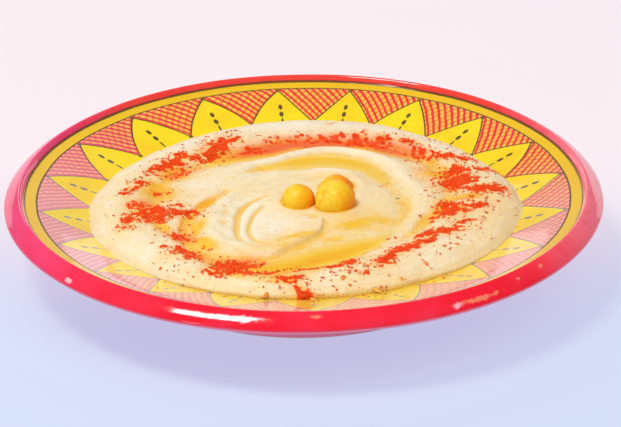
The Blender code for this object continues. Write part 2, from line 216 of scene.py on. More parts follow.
# Larger flakes of pepper skin, with their kind instead of an amount.
SKINS = shares([
    (387, -515, 26, 8, -38, "brown"), (227, -638, 20, 9, -48, "orange"),
    (120, -610, 12, 9, 20, "brown"), (30, -700, 20, 10, -60, "orange"),
    (194, -684, 14, 6, 80, "orange"), (244, -671, 20, 9, 80, "orange"),
    (490, -397, 12, 6, 10, "brown"), (465, -432, 9, 6, 0, "brown"),
    (699, -207, 14, 7, 60, "orange"), (438, -553, 10, 4, 10, "brown"),
    (305, -586, 7, 6, 0, "orange"), (-122, -668, 14, 8, 50, "brown"),
    (-148, -684, 10, 5, 40, "orange"), (-250, -668, 18, 10, 60, "orange"),
    (-489, -372, 10, 7, 0, "brown"), (-505, -196, 20, 8, 10, "brown"),
    (95, 588, 24, 7, 30, "orange"), (515, 390, 9, 5, 0, "green"), (261, 96, 8, 6, 0, "brown"),
    (316, 4, 8, 5, 0, "green"),
])
# The least and the most x and y share that grains are drawn from.
SPAN_X = (-0.68, 0.72)
SPAN_Y = (-0.72, 0.62)
SPECK_COUNT = 900
SPECK_SIZE = (0.00010, 0.00026)

# ---------------------------------------------------------------- the painted pattern
TRIANGLES = 20
TRIANGLE_START = 141.2        # angle of one base corner
TRIANGLE_BASE = 0.712         # share: radius of the base corners
TRIANGLE_APEX = 0.880
RINGS = (0.891, 0.931)
CREST_RADIUS = 0.9395         # where the lip turns over
# How the corners stray from an even pitch, as waves in degrees, and from an even radius.
PATTERN_WAVES = [(1, 2.1, 118.0), (2, 2.1, -1.0), (3, 0.9, -52.0), (4, 0.5, 27.0), (5, 0.5, -4.0)]
BASE_DIP = (-82.0, 0.026)     # angle, depth share
HATCH_PITCH = 0.215
# Brush marks up the middle of each triangle: (radius, half length, half width), shares.
MARKS = [(0.793, 0.0130, 0.0072), (0.756, 0.0130, 0.0078), (0.720, 0.0170, 0.0036)]


def spline(knots, values, x):
    """A smooth curve through the values, with each knot's slope from its neighbours."""
    knots = np.asarray(knots, dtype=float)
    values = np.asarray(values, dtype=float)
    slopes = np.gradient(values, knots)
    i = np.clip(np.searchsorted(knots, x) - 1, 0, len(knots) - 2)
    step = knots[i + 1] - knots[i]
    t = np.clip((x - knots[i]) / step, 0.0, 1.0)
    start = (2 * t**3 - 3 * t**2 + 1) * values[i] + (t**3 - 2 * t**2 + t) * slopes[i] * step
    end = (3 * t**2 - 2 * t**3) * values[i + 1] + (t**3 - t**2) * slopes[i + 1] * step
    return start + end


def noise(x, y, seed, period=64):
    """Smooth noise from -1 to 1, a cell to each unit, which repeats in y by the period."""
    lattice = np.random.default_rng(seed).uniform(-1.0, 1.0, (64, period))
    i, j = np.floor(x).astype(int), np.floor(y).astype(int)
    u, v = x - i, y - j
    u, v = u * u * (3 - 2 * u), v * v * (3 - 2 * v)
    near, far = (lattice[i % 64, k % period] * (1 - u) + lattice[(i + 1) % 64, k % period] * u
                 for k in (j, j + 1))
    return near * (1 - v) + far * v


def cells(x, y, count, shift, seed):
    """Noise with this many cells to the plate's radius."""
    return noise(x * count + shift, y * count + shift, seed)


def dish_height(radius):
    """Height of the plate's top side at a distance from the axis."""
    knots, heights = zip(*DISH)
    return (FOOT_HEIGHT + spline(knots, heights, radius / PLATE_RADIUS)) * PLATE_RADIUS


def stroke_at(stations, angle):
    """Radius, height, inner and outer width of a stroke at an angle, as shares."""
    stations = np.array(stations)
    first, last = stations[0, 0], stations[-1, 0]
    turned = first + (angle - first) % 360.0
    radius, height, inner, outer = (
        spline(stations[:, 0], stations[:, k] / 1000, np.minimum(turned, last))
        for k in range(1, 5))
    return radius, np.where(turned <= last, height, 0.0), inner, outer


def hummus_outline(angle):
    """The hummus's outline, as a distance from the plate's axis."""
    radius = OUTLINE_RADIUS + 0.004 * noise(np.zeros_like(angle), angle / 7.2, 5, 50)
    for count, size, phase in OUTLINE_WAVES:
        radius = radius + size * np.cos(np.radians(count * (angle - phase)))
    return radius * PLATE_RADIUS


def relief(share, angle):
    """The spoon's fine marks and the paste's grain, as a height share."""
    x = share * np.cos(np.radians(angle))
    y = share * np.sin(np.radians(angle))
    rise = noise(share * 60 + 0.02 * angle, angle / 24, 11, 15) * 0.0010
    rise = rise + noise(share * 120, angle / 12, 12, 30) * 0.0005
    for count, shift, seed, height in ((14, 30, 13, 0.0016), (40, 30, 14, 0.0010),
                                       (130, 200, 15, 0.0006)):
        rise = rise + cells(x, y, count, shift, seed) * height
    return rise + patches(x, y, LUMPS) * cells(x, y, 27, 40, 16) * 0.0065


def plain_rise(radius, angle):
    """Height share of the hummus's top side before the strokes and the grain."""
    knots, heights = zip(*PROFILE)
    return spline(knots, heights, radius / hummus_outline(angle))


def hummus_height(radius, angle):
    """Height of the hummus's top side at polar coordinates."""
    share = radius / PLATE_RADIUS
    rise = plain_rise(radius, angle)
    for stations in STROKES.values():
        middle, height, inner, outer = stroke_at(stations, angle)
        offset = share - middle
        width = np.where(offset < 0, inner, outer)
        rise = rise + height * np.exp(-(offset / width) ** 2)
    return (FOOT_HEIGHT + rise + relief(share, angle)) * PLATE_RADIUS


def top_height(x, y):
    """Height of the hummus, or of the plate past it."""
    radius = np.hypot(x, y)
    angle = np.degrees(np.arctan2(y, x))
    return np.maximum(hummus_height(radius, angle), dish_height(radius))


def patches(x, y, rows):
    """How much of some patches lies at a point in shares: 1 and more inside, 0 outside."""
    cover = np.zeros_like(x)
    for centre_x, centre_y, length, width, direction, amount in rows:
        turn = math.radians(direction)
        along = (x - centre_x) * math.cos(turn) + (y - centre_y) * math.sin(turn)
        across = (y - centre_y) * math.cos(turn) - (x - centre_x) * math.sin(turn)
        cover = np.maximum(cover, amount * np.exp(-(along / length) ** 2 - (across / width) ** 2))
    return cover


def grown(rows, factor):
    """Patches made larger."""
    return [(x, y, length * factor, width * factor, direction, amount)
            for x, y, length, width, direction, amount in rows]


def paprika_cover(x, y):
    """How thick the paprika lies at a point in shares, from 0 to 1."""
    bent_x = x + 0.008 * cells(x, y, 60, 80, 21)
    bent_y = y + 0.008 * cells(x, y, 60, 80, 22)
    cover = patches(bent_x, bent_y, grown(PAPRIKA, PAPRIKA_GROWTH))
    ragged = (0.5 + 0.45 * cells(x, y, 62, 90, 23) + 0.65 * cells(x, y, 115, 150, 24)
              + 0.10 * cells(x, y, 230, 250, 25))
    within = np.clip((cover - 0.16) * 8.0, 0.0, 1.0)
    return within * np.clip((cover - 0.10 - PAPRIKA_EDGE * ragged) * 4.0, 0.0, 1.0)


def placed(name, points, faces, material):
    """A piece from its points and faces, which rides on the plate's body."""
    mesh = bpy.data.meshes.new(name)
    mesh.from_pydata(points.tolist(), [], faces)
    mesh.materials.append(material)
    piece = bpy.data.objects.new(name, mesh)
    bpy.context.scene.collection.objects.link(piece)
    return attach(piece, "root")


def ring(radius, turn, height):
    """Points from polar coordinates, whose parts are numbers or rows of them; turns in radians."""
    radius, turn, height = np.broadcast_arrays(radius, turn, height)
    return np.column_stack((radius * np.cos(turn), radius * np.sin(turn), height))


def net(name, tubes, material):
    """A smooth piece of closed tubes, each from a pole, through equal rings, to a pole."""
    parts = []
    faces = []
    pole = 0
    for start, rings, end in tubes:
        parts.append(np.concatenate([[start], *rings, [end]]))
        count = len(rings[0])
        last = pole + 1 + (len(rings) - 1) * count
        for first in range(pole + 1, last, count):
            for k in range(count):
                n = (k + 1) % count
                faces.append((first + k, first + n, first + count + n, first + count + k))
        for k in range(count):
            n = (k + 1) % count
            faces.append((pole, pole + 1 + n, pole + 1 + k))
            faces.append((last + count, last + k, last + n))
        pole = last + count + 1
    piece = placed(name, np.concatenate(parts), faces, material)
    bm = bmesh.new()
    bm.from_mesh(piece.data)
    if bm.calc_volume(signed=True) < 0.0:
        piece.data.flip_normals()
    bm.free()
    piece.data.shade_smooth()
    return piece


def add_values(piece, name, values):
    """Store a number for each point of a piece, for its material to read."""
    attribute = piece.data.attributes.new(name, "FLOAT", "POINT")
    attribute.data.foreach_set("value", np.asarray(values, dtype=np.float32))


def points_of(piece):
    """A piece's points, a row each."""
    flat = np.empty(len(piece.data.vertices) * 3)
    piece.data.vertices.foreach_get("co", flat)
    return flat.reshape(-1, 3)


# ---------------------------------------------------------------- materials
class Field:
    """A number that varies over a surface: the output of a node, written as plain arithmetic."""

    def __init__(self, paint, socket):
        self.paint = paint
        self.socket = socket

    def __add__(self, other):
        return self.paint.math("ADD", self, other)

    def __sub__(self, other):
        return self.paint.math("SUBTRACT", self, other)

    def __rsub__(self, other):
        return self.paint.math("SUBTRACT", other, self)

    def __mul__(self, other):
        return self.paint.math("MULTIPLY", self, other)

    def __truediv__(self, other):
        return self.paint.math("DIVIDE", self, other)

    def __abs__(self):
        return self.paint.math("ABSOLUTE", self)

    __radd__ = __add__
    __rmul__ = __mul__


class Paint:
    """A material under construction."""

    def __init__(self, name, roughness, ior=1.5):
        self.material = bpy.data.materials.new(name)
        self.material.use_nodes = True
        self.tree = self.material.node_tree
        self.shader = self.tree.nodes["Principled BSDF"]
        self.shader.inputs["Roughness"].default_value = roughness
        self.shader.inputs["IOR"].default_value = ior
        self.coordinates = self.tree.nodes.new("ShaderNodeTexCoord").outputs["Object"]

    def set(self, value, socket):
        """Give a socket a number, or the node that it is to follow."""
        if isinstance(value, Field):
            self.tree.links.new(value.socket, socket)
        else:
            socket.default_value = value

    def math(self, operation, *values):
        """The result of one of Blender's math operations."""
        node = self.tree.nodes.new("ShaderNodeMath")
        node.operation = operation
        for value, socket in zip(values, node.inputs):
            self.set(value, socket)
        return Field(self, node.outputs[0])

    def wrap(self, value):
        """The part of a number past its whole part."""
        return self.math("FRACT", value)

    def place(self):
        """The point's x, y and z as shares."""
        node = self.tree.nodes.new("ShaderNodeSeparateXYZ")
        self.tree.links.new(self.coordinates, node.inputs[0])
        return [Field(self, output) / PLATE_RADIUS for output in node.outputs]

    def noise(self, cells, detail=2.0, stretch=(1.0, 1.0, 1.0), shift=0.0):
        """Noise from 0 to 1 with this many cells to the metre."""
        mapping = self.tree.nodes.new("ShaderNodeMapping")
        mapping.inputs["Scale"].default_value = stretch
        mapping.inputs["Location"].default_value = (shift, shift, shift)
        node = self.tree.nodes.new("ShaderNodeTexNoise")
        node.inputs["Scale"].default_value = cells
        node.inputs["Detail"].default_value = detail
        self.tree.links.new(self.coordinates, mapping.inputs["Vector"])
        self.tree.links.new(mapping.outputs["Vector"], node.inputs["Vector"])
        return Field(self, node.outputs[0])

    def stored(self, name):
        """A number that add_values stored on the piece."""
        node = self.tree.nodes.new("ShaderNodeAttribute")
        node.attribute_name = name
        return Field(self, node.outputs["Fac"])

    def over(self, value, edge, soft):
        """1 where the value is over the edge and 0 under it, with a soft step."""
        node = self.tree.nodes.new("ShaderNodeMapRange")
        node.interpolation_type = "SMOOTHSTEP"
        self.set(value, node.inputs["Value"])
        self.set(edge - soft, node.inputs["From Min"])
        self.set(edge + soft, node.inputs["From Max"])
        return Field(self, node.outputs["Result"])

    def towards(self, turn, angle, edge, soft):
        """1 on the plate's side at an angle and 0 past it. The edge is a cosine."""
        return self.over(self.math("COSINE", turn - math.radians(angle)), edge, soft)

    def reach(self, along, across):
        """The distance that two sideways distances make."""
        return self.math("SQRT", self.math("POWER", along, 2.0) + self.math("POWER", across, 2.0))

    def line(self, distance, half_width, soft):
        """1 on a line, whose distance is given, and 0 away from it."""
        return 1.0 - self.over(abs(distance), half_width, soft)

    def mix(self, first, second, amount):
        """A colour between two colours or mixes."""
        node = self.tree.nodes.new("ShaderNodeMix")
        node.data_type = "RGBA"
        self.set(amount, node.inputs[0])
        for value, socket in ((first, node.inputs[6]), (second, node.inputs[7])):
            self.set(value if isinstance(value, Field) else (*value, 1.0), socket)
        return Field(self, node.outputs[2])

    def ramp(self, value, stops):
        """A colour that runs through (position, colour) stops."""
        node = self.tree.nodes.new("ShaderNodeValToRGB")
        self.set(value, node.inputs[0])
        elements = node.color_ramp.elements
        while len(elements) < len(stops):
            elements.new(0.5)
        for element, (position, colour) in zip(elements, stops):
            element.position = position
            element.color = (*colour, 1.0)
        return Field(self, node.outputs["Color"])

    def bump(self, height, distance, strength=1.0):
        """Make the surface look as if it rose by a height from 0 to 1 times a distance."""
        node = self.tree.nodes.new("ShaderNodeBump")
        node.inputs["Distance"].default_value = distance
        node.inputs["Strength"].default_value = strength
        self.set(height, node.inputs["Height"])
        self.tree.links.new(node.outputs["Normal"], self.shader.inputs["Normal"])

    def finish(self, colour=None, roughness=None, **values):
        """The material, with its last settings."""
        if colour is not None:
            self.set(colour, self.shader.inputs["Base Color"])
        if roughness is not None:
            self.set(roughness, self.shader.inputs["Roughness"])
        for name, value in values.items():
            self.shader.inputs[name.replace("_", " ")].default_value = value
        return self.material


# Colours are linear. FRONT, BACK, LEFT and RIGHT are angles.
FRONT, RIGHT, BACK, LEFT = -90.0, 0.0, 90.0, 180.0
RED = (0.96, 0.005, 0.025)
RED_BRIGHT = (0.97, 0.022, 0.060)
RED_DEEP = (0.82, 0.002, 0.014)
# Painted highlights and reflections on the rim: along the crest, at the back, left and right, and
# on the lower edge.
CREST_HIGHLIGHT_PINK = (0.98, 0.36, 0.46)
RED_BACK_GLARE = (0.95, 0.060, 0.040)
RED_LEFT_GLARE = (0.88, 0.055, 0.190)
RED_RIGHT_GLARE = (0.98, 0.170, 0.230)
LOWER_EDGE_HIGHLIGHT = (0.98, 0.300, 0.440)
# Painted reflection: the pale glare on the front, and the fainter ink seen through it.
GLARE_HAZE = (0.92, 0.70, 0.66)
GLARED_INK = (0.28, 0.26, 0.30)
YELLOW = (0.98, 0.740, 0.008)
YELLOW_WARM = (0.97, 0.620, 0.008)
# The ring's yellow, darker as painted shade of the lip's crest.
YELLOW_RING_SHADED = (0.86, 0.500, 0.006)
HATCH_GROUND = (0.97, 0.480, 0.045)
HATCH_DOT = (0.98, 0.640, 0.080)
# Painted glare: the hatching's rose at the front and pink towards the front left.
HATCH_ROSE_GLARE = (0.95, 0.380, 0.290)
HATCH_LINE = (0.82, 0.010, 0.035)
HATCH_CROSS = (0.94, 0.140, 0.045)
HATCH_PINK_GLARE = (0.78, 0.015, 0.150)
HATCH_BLUSH_GLARE = (0.95, 0.260, 0.270)
INK = (0.045, 0.035, 0.020)
CLAY = (0.62, 0.30, 0.16)
CHIP = (0.98, 0.62, 0.66)
ORANGE_CHIP = (0.98, 0.30, 0.15)
# Painted reflection: the rim's red turns paler and pinker round the plate, where it catches the
# bright surroundings: (colour, angle, cosine at its edge, softness).
RIM_GLARE_SIDES = [(RED_BACK_GLARE, BACK, 0.5, 0.3), (RED_LEFT_GLARE, LEFT, 0.80, 0.18),
             (RED_RIGHT_GLARE, RIGHT, 0.84, 0.16)]
# Chips and worn spots on the rim: (angle, radius, half length, half width, colour).
CHIPS = [
    (-101.0, 0.976, 0.034, 0.011, CHIP), (-57.0, 0.986, 0.075, 0.007, ORANGE_CHIP),
    (-62.0, 0.988, 0.022, 0.009, CHIP), (-137.5, 0.990, 0.018, 0.006, CHIP),
    (-41.0, 0.972, 0.016, 0.006, ORANGE_CHIP), (-47.5, 0.974, 0.010, 0.005, ORANGE_CHIP),
    (-172.0, 0.975, 0.030, 0.004, RED_DEEP), (-88.0, 0.968, 0.030, 0.006, ORANGE_CHIP),
]


def hatched_ground(p, turn, across, height, chance, uneven):
    """The ground round the triangles: two sets of lines, each along one side of a triangle."""
    waves = 0.10 * (p.noise(210.0, 1.0, shift=7.0) - 0.5)
    first = p.wrap((height - 2.0 * across + waves) / HATCH_PITCH) - 0.5
    second = p.wrap((height + 2.0 * across - waves) / HATCH_PITCH + chance) - 0.5
    # Painted reflection: the glare turns the ground rose at the front, and the ground and lines
    # pink towards the front left.
    pink_glare = p.towards(turn, -160.0, 0.55, 0.35)
    ground = p.mix(HATCH_GROUND, HATCH_DOT, p.over(uneven, 0.52, 0.12))
    ground = p.mix(ground, HATCH_ROSE_GLARE, 0.8 * p.towards(turn, FRONT, 0.05, 0.45))
    ground = p.mix(ground, HATCH_BLUSH_GLARE, 0.7 * pink_glare)
    ground = p.mix(ground, HATCH_CROSS, 0.80 * p.line(second, 0.10 + 0.12 * uneven, 0.10))
    return p.mix(ground, p.mix(HATCH_LINE, HATCH_PINK_GLARE, pink_glare),
                 0.95 * p.line(first, 0.15 + 0.14 * uneven, 0.09))


def rim_red(p, radius, turn, z):
    """The lip's red, with its chips, a pale painted highlight along its crest, a pink painted
    highlight on its lower edge and painted reflections round its sides.
    """
    rim = p.mix(RED, RED_BRIGHT, p.over(p.noise(45.0, 3.0, shift=9.0), 0.52, 0.14))
    # Painted reflection of the bright surroundings on the rim's sides.
    for shade, angle, edge, soft in RIM_GLARE_SIDES:
        rim = p.mix(rim, shade, p.towards(turn, angle, edge, soft))
    rim = p.mix(rim, RED_DEEP, 0.25 * p.over(p.noise(100.0, 3.0, shift=1.0), 0.58, 0.10))
    # A painted highlight: pink along the lip's lower edge.
    rim = p.mix(rim, LOWER_EDGE_HIGHLIGHT, 0.75 * (1.0 - p.over(z, FOOT_HEIGHT - 0.016, 0.004)))
    for angle, place, length, width, shade in CHIPS:
        along = p.math("SINE", turn - math.radians(angle)) * place
        away = p.reach(along / length, (radius - place) / width)
        worn = 1.0 - p.over(away + 2.4 * (p.noise(420.0, 3.0, shift=angle) - 0.5), 0.70, 0.45)
        rim = p.mix(rim, shade, 0.75 * worn * p.towards(turn, angle, 0.5, 0.1))
    # A painted highlight along the lip's crest at the front.
    crest = p.line(radius - CREST_RADIUS, 0.0035, 0.0030) * p.towards(turn, FRONT, -0.1, 0.4)
    return p.mix(rim, CREST_HIGHLIGHT_PINK, 0.65 * crest)


def painted_glaze():
    """Glaze over paint: red lip, yellow ring, and yellow triangles on a hatched ground."""
    p = Paint("painted_glaze", 0.16, 1.45)
    x, y, z = p.place()
    radius = p.math("SQRT", x * x + y * y) + 0.0022 * (p.noise(90.0, 1.0) - 0.5)
    turn = p.math("ARCTAN2", y, x)
    warp = 0.0
    for count, size, phase in PATTERN_WAVES:
        wave = p.math("COSINE", count * turn - math.radians(count * phase))
        warp = warp + math.radians(size) * wave
    wobble = 0.012 * (p.noise(70.0, 1.0, shift=3.0) - 0.5)
    pitch = 2 * math.pi / TRIANGLES
    # A cell of the pattern runs from a base corner to the next; across is 0 at the corner.
    cell = (turn - warp - math.radians(TRIANGLE_START)) / pitch + 2 * TRIANGLES + wobble
    across = p.wrap(cell + 0.5) - 0.5
    middle = p.wrap(cell) - 0.5
    random = p.tree.nodes.new("ShaderNodeTexWhiteNoise")
    random.noise_dimensions = "1D"
    p.set(p.math("FLOOR", cell + 0.5), random.inputs["W"])
    chance = Field(p, random.outputs["Value"])
    base = TRIANGLE_BASE - BASE_DIP[1] * p.towards(turn, BASE_DIP[0], 0.72, 0.28)
    height = (radius - base) / (TRIANGLE_APEX - base)
    bulge = (chance - 0.5) * 0.16 * p.math("SINE", abs(across) * (2 * math.pi))
    side = height - 2.0 * abs(across) + bulge
    scale = 1.0 / math.hypot(1.0 / (TRIANGLE_APEX - TRIANGLE_BASE), TRIANGLES / (math.pi * 0.8))

    # A painted reflection: the glare and haze on the blurred front are painted as paler colours at
    # its left and its right.
    painted_glare = p.towards(turn, -138.0, 0.55, 0.40) + 0.8 * p.towards(turn, -45.0, 0.70, 0.28)
    uneven = p.noise(500.0, 2.0, shift=11.0)
    ground = p.mix(hatched_ground(p, turn, across, height, chance, uneven), GLARE_HAZE, 0.36 * painted_glare)
    yellow = p.mix(YELLOW, YELLOW_WARM, p.over(p.noise(60.0, 3.0, shift=2.0), 0.55, 0.2))
    colour = p.mix(ground, yellow, 1.0 - p.over(side, 0.0, 0.02))

    # Ink: the brush marks, the triangles' sides and a spot at each corner.
    marks = 0.0
    for place, length, width in MARKS:
        shift = place - (0.8 if place < 0.74 else 0.2) * (TRIANGLE_BASE - base)
        away = p.reach((radius - shift) / length, middle * pitch * radius / width)
        marks = p.math("MAXIMUM", marks, 1.0 - p.over(away, 1.0, 0.22))
    thick = 0.0018 + 0.0016 * p.noise(120.0, 2.0, shift=5.0)
    ink = p.line(side * scale, thick, 0.0012)
    for place, corner in ((across, base), (middle, TRIANGLE_APEX)):
        away = p.reach((radius - corner) / 0.008, place * pitch * radius / 0.011)
        ink = p.math("MAXIMUM", ink, 0.9 * (1.0 - p.over(away, 0.8, 0.35)))
    ink = p.math("MAXIMUM", ink, marks)
    # Ink under the painted glare is fainter.
    colour = p.mix(colour, p.mix(INK, GLARED_INK, painted_glare), 0.93 * ink)

    # The yellow ring between its two dark ones, darkened as painted shade of the lip's crest, and
    # the rim.
    colour = p.mix(colour, p.mix(yellow, YELLOW_RING_SHADED, 0.7), p.over(radius, RINGS[0], 0.0012))
    # A little painted glare over the ring too.
    colour = p.mix(colour, GLARE_HAZE, 0.10 * painted_glare)
    rim = rim_red(p, radius, turn, z)
    colour = p.mix(colour, rim, p.over(radius, RINGS[1] + 0.001, 0.0015))
    for place, width in zip(RINGS, (0.0030, 0.0026)):
        line = p.line(radius - place, width + 0.0012 * (uneven - 0.5), 0.0014)
        colour = p.mix(colour, INK, 0.85 * line * p.over(z, 0.205, 0.004))

    # Under the lip all is red, down to the bare clay of the foot's sole.
    below = (1.0 - p.over(z, FOOT_HEIGHT - 0.012, 0.004)) * p.over(radius, RINGS[1], 0.002)
    under = 1.0 - p.over(z - dish_level(p, radius), -0.02, 0.004)
    colour = p.mix(colour, rim, p.math("MAXIMUM", below, under))
    colour = p.mix(colour, CLAY, 1.0 - p.over(z, 0.006, 0.002))
    p.bump(p.noise(160.0, 2.0, shift=4.0) + 0.3 * ink, 0.00012, 0.6)
    return p.finish(colour, 0.05 + 0.08 * p.noise(300.0, 3.0), Coat_Weight=0.3, Coat_Roughness=0.06)


def dish_level(p, radius):
    """The dish's height as straight lines, close enough to tell its top side from its underside."""
    slope = (DISH[-1][1] - DISH[4][1]) / (DISH[-1][0] - DISH[4][0])
    rising = (radius - DISH[4][0]) * slope + DISH[4][1]
    flat = (radius - 0.3) * 0.17 + DISH[1][1]
    return p.math("MAXIMUM", rising, p.math("MAXIMUM", flat, DISH[0][1])) + FOOT_HEIGHT


# Hummus and what colours it.
CREAM = (0.90, 0.73, 0.42)
CREAM_LIGHT = (0.91, 0.81, 0.57)
CREAM_DARK = (0.89, 0.63, 0.27)
# Painted highlight on the crests, and painted shade with gathered oil in the hollows.
CREST_HIGHLIGHT = (0.97, 0.88, 0.72)
HOLLOW_OIL_AND_SHADE = (0.90, 0.56, 0.13)
FILM = (0.94, 0.58, 0.09)
FILM_DEEP = (0.94, 0.53, 0.014)
STAIN = (0.96, 0.15, 0.06)
OIL_STAIN = (0.95, 0.13, 0.035)
PAPRIKA_RED = (0.98, 0.095, 0.002)
# Oil by its depth, and a chickpea's skin by how amber it is: (position, colour).
OIL_DEPTHS = [(0.0, (0.95, 0.66, 0.20)), (0.10, (0.95, 0.62, 0.10)), (0.30, (0.94, 0.55, 0.020)),
              (0.55, (0.93, 0.42, 0.006)), (0.85, (0.90, 0.24, 0.004))]
PEA_AMBERS = [(0.12, (0.98, 0.72, 0.060)), (0.32, (0.98, 0.59, 0.012)),
              (0.55, (0.97, 0.42, 0.004)), (0.85, (0.90, 0.22, 0.002))]
# Painted shade in a chickpea's creases and folds.
PEA_CREASE_SHADE = (0.92, 0.33, 0.006)
# The floor's glow and its own colour, each near and far: the glow keeps shadows light and bluish,
# and the change from near to far is painted light.
FLOOR_GLOW = ((0.440, 0.480, 0.700), (0.720, 0.650, 0.700))
FLOOR_COLOUR = ((0.225, 0.260, 0.230), (0.240, 0.210, 0.200))


def hummus_paint():
    """Cream paste, paler on its crests as a painted highlight and darker in its hollows as painted
    shade with gathered oil, with oil and paprika on it.
    """
    p = Paint("hummus", 0.42, 1.36)
    broad = p.noise(55.0, 3.0)
    fine = p.noise(420.0, 3.0, shift=5.0)
    colour = p.mix(CREAM, CREAM_LIGHT, 0.7 * p.over(broad, 0.52, 0.18))
    colour = p.mix(colour, CREAM_DARK, 0.5 * p.over(fine, 0.60, 0.16))
    # Painted highlights on the crests, and painted shade in the colour of gathered oil in the
    # hollows.
    crest = p.stored("crest")
    colour = p.mix(colour, CREST_HIGHLIGHT, 0.45 * p.over(crest, 0.5, 0.5))
    # Paler patches, partly painted highlights on the back flank.
    colour = p.mix(colour, CREST_HIGHLIGHT, p.math("MINIMUM", 0.6 * p.stored("pale"), 0.75))
    colour = p.mix(colour, HOLLOW_OIL_AND_SHADE, 0.7 * p.over(0.0 - crest, 0.55, 0.45))
    film = p.stored("film") * (0.35 + 1.3 * p.noise(190.0, 3.0, shift=2.0))
    gold = p.over(film, 0.82, 0.30)
    film = p.math("MINIMUM", film, 1.0)
    colour = p.mix(colour, FILM, 0.92 * film)
    colour = p.mix(colour, FILM_DEEP, 0.9 * gold)
    stain = p.stored("stain") * (0.4 + 1.2 * p.noise(260.0, 2.0, shift=8.0))
    stain = p.math("MINIMUM", stain, 1.0)
    colour = p.mix(colour, STAIN, 0.7 * stain)
    red = p.stored("paprika") + 0.5 * (p.noise(900.0, 2.0, shift=6.0) - 0.5)
    colour = p.mix(colour, PAPRIKA_RED, p.over(red, 0.50, 0.22))
    rough = 0.46 - 0.26 * film + 0.2 * p.over(red, 0.5, 0.2)
    grain = p.noise(700.0, 3.0, shift=1.0) + 0.5 * p.noise(1900.0, 2.0, shift=3.0)
    p.bump(grain + 2.0 * p.noise(210.0, 2.0, shift=9.0), 0.00030, 0.8)
    p.shader.inputs["Subsurface Radius"].default_value = (0.0020, 0.0012, 0.0005)
    return p.finish(colour, rough, Subsurface_Weight=0.25, Subsurface_Scale=1.0)


def oil_paint():
    """Clear golden oil over hummus: the deeper, the more orange."""
    p = Paint("oil", 0.06, 1.47)
    depth = p.stored("depth") + 0.14 * (p.noise(140.0, 2.0) - 0.5)
    colour = p.ramp(depth, OIL_DEPTHS)
    stain = p.stored("stain") * (0.5 + 1.1 * p.noise(200.0, 2.0, shift=8.0))
    colour = p.mix(colour, OIL_STAIN, 0.85 * p.math("MINIMUM", stain, 1.0))
    red = p.stored("paprika") + 0.7 * (p.noise(700.0, 2.0, shift=6.0) - 0.5)
    colour = p.mix(colour, PAPRIKA_RED, 0.85 * p.over(red, 0.55, 0.25))
    p.bump(p.noise(120.0, 1.0, shift=4.0), 0.0002, 0.25)
    return p.finish(colour, 0.08)


def chickpea_paint():
    """Moist yellow skin, more orange on one side and in its creases, as painted shade."""
    p = Paint("chickpea", 0.40, 1.40)
    patchy = 0.45 * p.noise(230.0, 3.0) + 0.75 * p.stored("amber")
    colour = p.mix(p.ramp(patchy, PEA_AMBERS), PEA_CREASE_SHADE, 0.8 * p.stored("crease_shade"))
    p.bump(p.noise(700.0, 3.0, shift=2.0), 0.00030, 0.9)
    p.shader.inputs["Subsurface Radius"].default_value = (0.0022, 0.0011, 0.0003)
    return p.finish(colour, Subsurface_Weight=0.35, Subsurface_Scale=1.0)


def grain_paint(name, low, high, roughness):
    """Dry grains, each a little different from its neighbours."""
    p = Paint(name, roughness, 1.4)
    return p.finish(p.mix(low, high, p.over(p.noise(1500.0, 2.0), 0.5, 0.18)))


def floor_paint():
    """Pale paper which glows a little so that shadows stay light; lilac towards the front as a
    painted change of light.
    """
    p = Paint("floor", 0.6)
    # Painted light: lilac and glowing bluer at the front, pinker at the back.
    far = p.over(p.place()[1], 0.15, 0.75)
    p.set(p.mix(*FLOOR_GLOW, far), p.shader.inputs["Emission Color"])
    return p.finish(p.mix(*FLOOR_COLOUR, far), Emission_Strength=1.0, Specular_IOR_Level=0.0)


# ---------------------------------------------------------------- pieces
PLATE_COLUMNS = 288
HUMMUS_COLUMNS = 420
HUMMUS_ROWS = 165
POOL_COLUMNS = 18
PEA_COLUMNS = 96
PEA_ROWS = 64
SKIN_CORNERS = 12
SKIN_THICKNESS = 0.0003
CREST_HEIGHT = 0.00026        # how far the highest crests stand over their surroundings


def plate(material):
    """The turned plate, finer than its solid, with a throwing mark or two in its surface."""
    def dish(share, drop=0.0):
        return share, float(dish_height(share * PLATE_RADIUS)) / PLATE_RADIUS - drop

    steps = np.arange(len(LIP))
    along = np.linspace(0.0, len(LIP) - 1, 4 * len(LIP))
    lip = list(zip(spline(steps, [r for r, _ in LIP], along),
                   FOOT_HEIGHT + spline(steps, [z for _, z in LIP], along)))
    underside = FOOT_HEIGHT + UNDERSIDE
    bevel = FOOT_BEVEL
    foot = [(FOOT_OUTER + 2 * bevel, underside), (FOOT_OUTER + bevel, underside - bevel),
            (FOOT_OUTER, underside - 2 * bevel), (FOOT_OUTER, bevel),
            (FOOT_OUTER - 0.3 * bevel, 0.3 * bevel), (FOOT_OUTER - bevel, 0.0),
            (FOOT_INNER + bevel, 0.0), (FOOT_INNER, bevel), (FOOT_INNER - bevel, underside - bevel),
            (FOOT_INNER - 4 * bevel, underside), (0.25, underside)]
    section = [dish(share) for share in np.linspace(0.05, 0.929, 44)] + lip
    section += [dish(share, PLATE_THICKNESS) for share in (0.93, 0.87, 0.80, 0.74, 0.69, 0.65)]
    turns = 2 * math.pi * np.arange(PLATE_COLUMNS) / PLATE_COLUMNS
    rings = []
    for share, height in section + foot:
        wave = noise(np.full_like(turns, share * 9), np.degrees(turns) / 10, 31, 36) * 0.0012
        wave = wave * min(1.0, max(0.0, (height - 0.02) * 20)) * (share > 0.7)
        radius = (share + 0.5 * wave) * PLATE_RADIUS
        rings.append(ring(radius, turns, (height + wave) * PLATE_RADIUS))
    top, bottom = float(dish_height(0.0)), underside * PLATE_RADIUS
    piece = net("painted_plate", [((0.0, 0.0, top), rings, (0.0, 0.0, bottom))], material)
    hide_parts("plate")
    return piece


